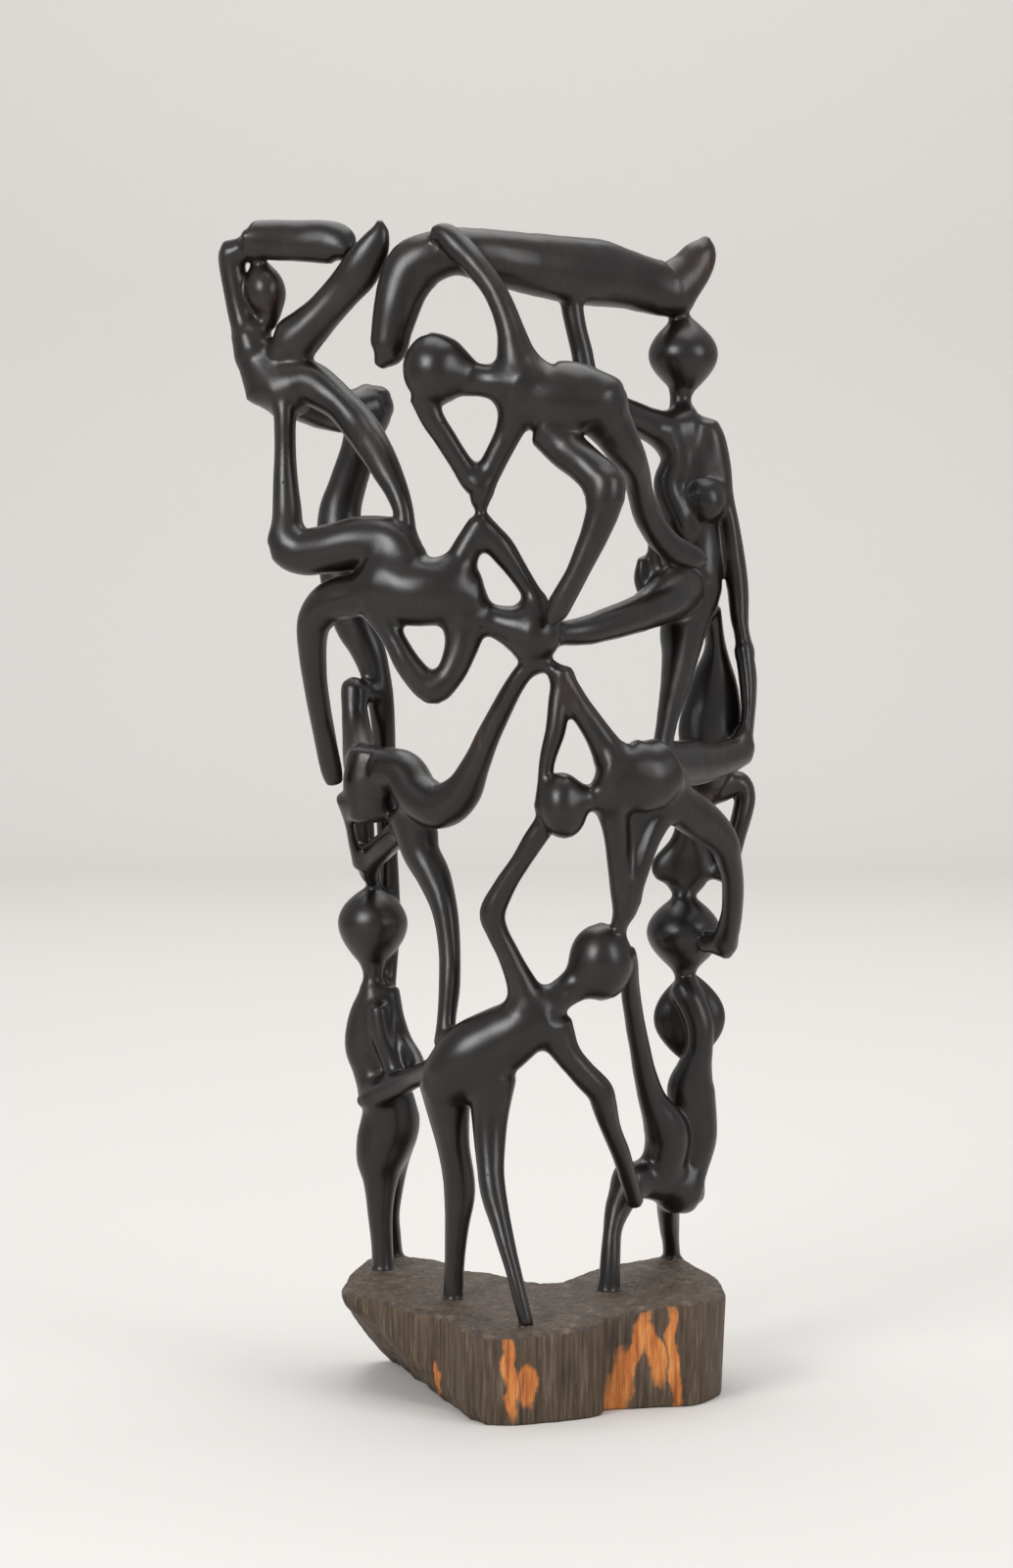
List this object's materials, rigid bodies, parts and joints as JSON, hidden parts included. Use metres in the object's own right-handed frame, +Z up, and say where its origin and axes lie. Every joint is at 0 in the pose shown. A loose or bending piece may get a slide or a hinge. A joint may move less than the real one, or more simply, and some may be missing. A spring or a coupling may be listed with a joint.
{
  "type": "wooden figure",
  "caption": "Tall openwork carving of interlocked acrobats on a rough log base, cut from a single log of dark wood. Stands on its flat underside.",
  "frame": {"origin": "middle of the flat underside of the log base", "axes": "+Z up along the log, +Y away from the front of the carving, +X to the right when seen from the front"},
  "size_m": [0.3144, 0.1953, 0.6795],
  "materials": {
    "blackwood": "polished carving on a rough, dull base"
  },
  "bodies": {
    "root": {"carved_acrobat_group": "blackwood"}
  },
  "joints": []
}
